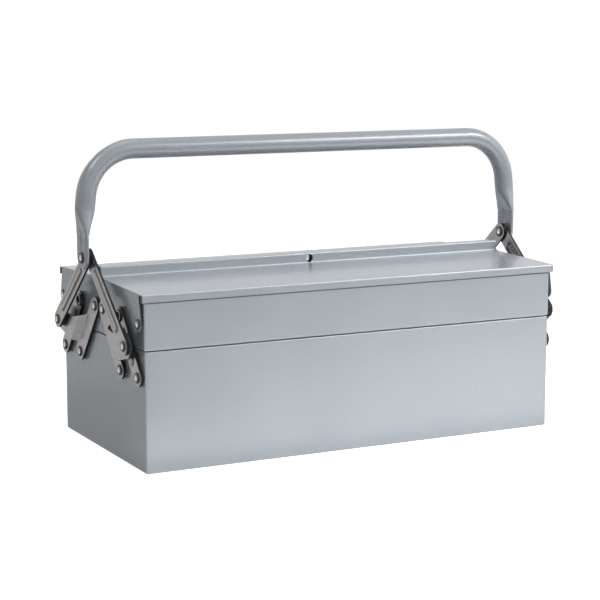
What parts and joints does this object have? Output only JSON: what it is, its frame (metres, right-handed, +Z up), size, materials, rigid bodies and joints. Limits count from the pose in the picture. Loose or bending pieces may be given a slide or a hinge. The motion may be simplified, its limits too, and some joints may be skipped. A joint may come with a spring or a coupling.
{
  "type": "cantilever tool box",
  "caption": "Sheet steel cantilever tool box: a deep lower box, two lidded trays that swing out on riveted links, and a bent tube handle.",
  "frame": {"origin": "middle of the lower box's base, on the surface it stands on", "axes": "+X along the box, +Y from the front to the rear, +Z up"},
  "size_m": [0.4588, 0.2028, 0.2803],
  "materials": {
    "silver_paint": "gloss",
    "handle_paint": "gloss",
    "zinc_plate": "satin",
    "rivet_steel": "satin"
  },
  "bodies": {
    "box": {"lower_box": "silver_paint", "box_rivets": "rivet_steel", "box_washers": "zinc_plate"},
    "handle_carriage": {"handle_rivets": "rivet_steel", "handle_washers": "zinc_plate"},
    "handle": {"handle": "handle_paint"},
    "front_crank": {"front_left_crank": "zinc_plate", "front_right_crank": "zinc_plate", "front_crank_rivets": "rivet_steel"},
    "front_arm": {"front_left_arm": "zinc_plate", "front_right_arm": "zinc_plate"},
    "front_tray": {"front_tray": "silver_paint", "front_tray_rivets": "rivet_steel", "front_arm_rivets": "rivet_steel", "front_lid_rivets": "rivet_steel", "front_lid_washers": "zinc_plate", "front_tray_washers": "zinc_plate"},
    "front_lid": {"front_lid": "silver_paint"},
    "front_link": {"front_left_link": "zinc_plate", "front_right_link": "zinc_plate", "front_link_rivets": "rivet_steel", "front_link_spacer": "zinc_plate"},
    "rear_crank": {"rear_left_crank": "zinc_plate", "rear_right_crank": "zinc_plate", "rear_crank_rivets": "rivet_steel"},
    "rear_arm": {"rear_left_arm": "zinc_plate", "rear_right_arm": "zinc_plate"},
    "rear_tray": {"rear_tray": "silver_paint", "rear_tray_rivets": "rivet_steel", "rear_arm_rivets": "rivet_steel", "rear_lid_rivets": "rivet_steel", "rear_lid_washers": "zinc_plate", "rear_tray_washers": "zinc_plate"},
    "rear_lid": {"rear_lid": "silver_paint"},
    "rear_link": {"rear_left_link": "zinc_plate", "rear_right_link": "zinc_plate", "rear_link_rivets": "rivet_steel", "rear_link_spacer": "zinc_plate"}
  },
  "joints": [
    {"name": "trays_open", "type": "hinge", "parent": "box", "child": "front_crank", "pos_m": [0, -0.05, 0.083], "axis": [1, 0, 0], "range_deg": [0, 79.61]},
    {"name": "front_arm_turn", "type": "hinge", "parent": "box", "child": "front_arm", "pos_m": [0, -0.09, 0.083], "axis": [1, 0, 0], "range_deg": [0, 79.61]},
    {"name": "front_tray_level", "type": "hinge", "parent": "front_crank", "child": "front_tray", "pos_m": [0, -0.01, 0.131], "axis": [1, 0, 0], "range_deg": [-79.61, 0]},
    {"name": "front_lid_open", "type": "hinge", "parent": "front_tray", "child": "front_lid", "pos_m": [0, -0.0935, 0.13], "axis": [1, 0, 0], "range_deg": [0, 130]},
    {"name": "front_link_turn", "type": "hinge", "parent": "handle_carriage", "child": "front_link", "pos_m": [0, 0, 0.1765], "axis": [1, 0, 0], "range_deg": [-1.29, 0]},
    {"name": "rear_crank_turn", "type": "hinge", "parent": "box", "child": "rear_crank", "pos_m": [0, 0.05, 0.083], "axis": [-1, 0, 0], "range_deg": [0, 79.61]},
    {"name": "rear_arm_turn", "type": "hinge", "parent": "box", "child": "rear_arm", "pos_m": [0, 0.09, 0.083], "axis": [-1, 0, 0], "range_deg": [0, 79.61]},
    {"name": "rear_tray_level", "type": "hinge", "parent": "rear_crank", "child": "rear_tray", "pos_m": [0, 0.01, 0.131], "axis": [-1, 0, 0], "range_deg": [-79.61, 0]},
    {"name": "rear_lid_open", "type": "hinge", "parent": "rear_tray", "child": "rear_lid", "pos_m": [0, 0.0935, 0.13], "axis": [-1, 0, 0], "range_deg": [0, 130]},
    {"name": "rear_link_turn", "type": "hinge", "parent": "handle_carriage", "child": "rear_link", "pos_m": [0, 0, 0.1765], "axis": [-1, 0, 0], "range_deg": [-1.29, 0]},
    {"name": "handle_drop", "type": "slide", "parent": "box", "child": "handle_carriage", "axis": [0, 0, 1], "range_m": [-0.05312, 0]},
    {"name": "handle_swing", "type": "hinge", "parent": "handle_carriage", "child": "handle", "pos_m": [0, 0, 0.1765], "axis": [1, 0, 0], "range_deg": [-50, 50]}
  ],
  "couplings": [
    {"joint": "front_arm_turn", "follows": "trays_open", "ratio": 1},
    {"joint": "front_tray_level", "follows": "trays_open", "ratio": -1},
    {"joint": "front_link_turn", "follows": "trays_open", "ratio": -0.016029},
    {"joint": "rear_arm_turn", "follows": "trays_open", "ratio": 1},
    {"joint": "rear_tray_level", "follows": "trays_open", "ratio": -1},
    {"joint": "rear_link_turn", "follows": "trays_open", "ratio": -0.016029},
    {"joint": "rear_crank_turn", "follows": "trays_open", "ratio": 1},
    {"joint": "handle_drop", "follows": "trays_open", "m_per_rad": -0.038153}
  ]
}
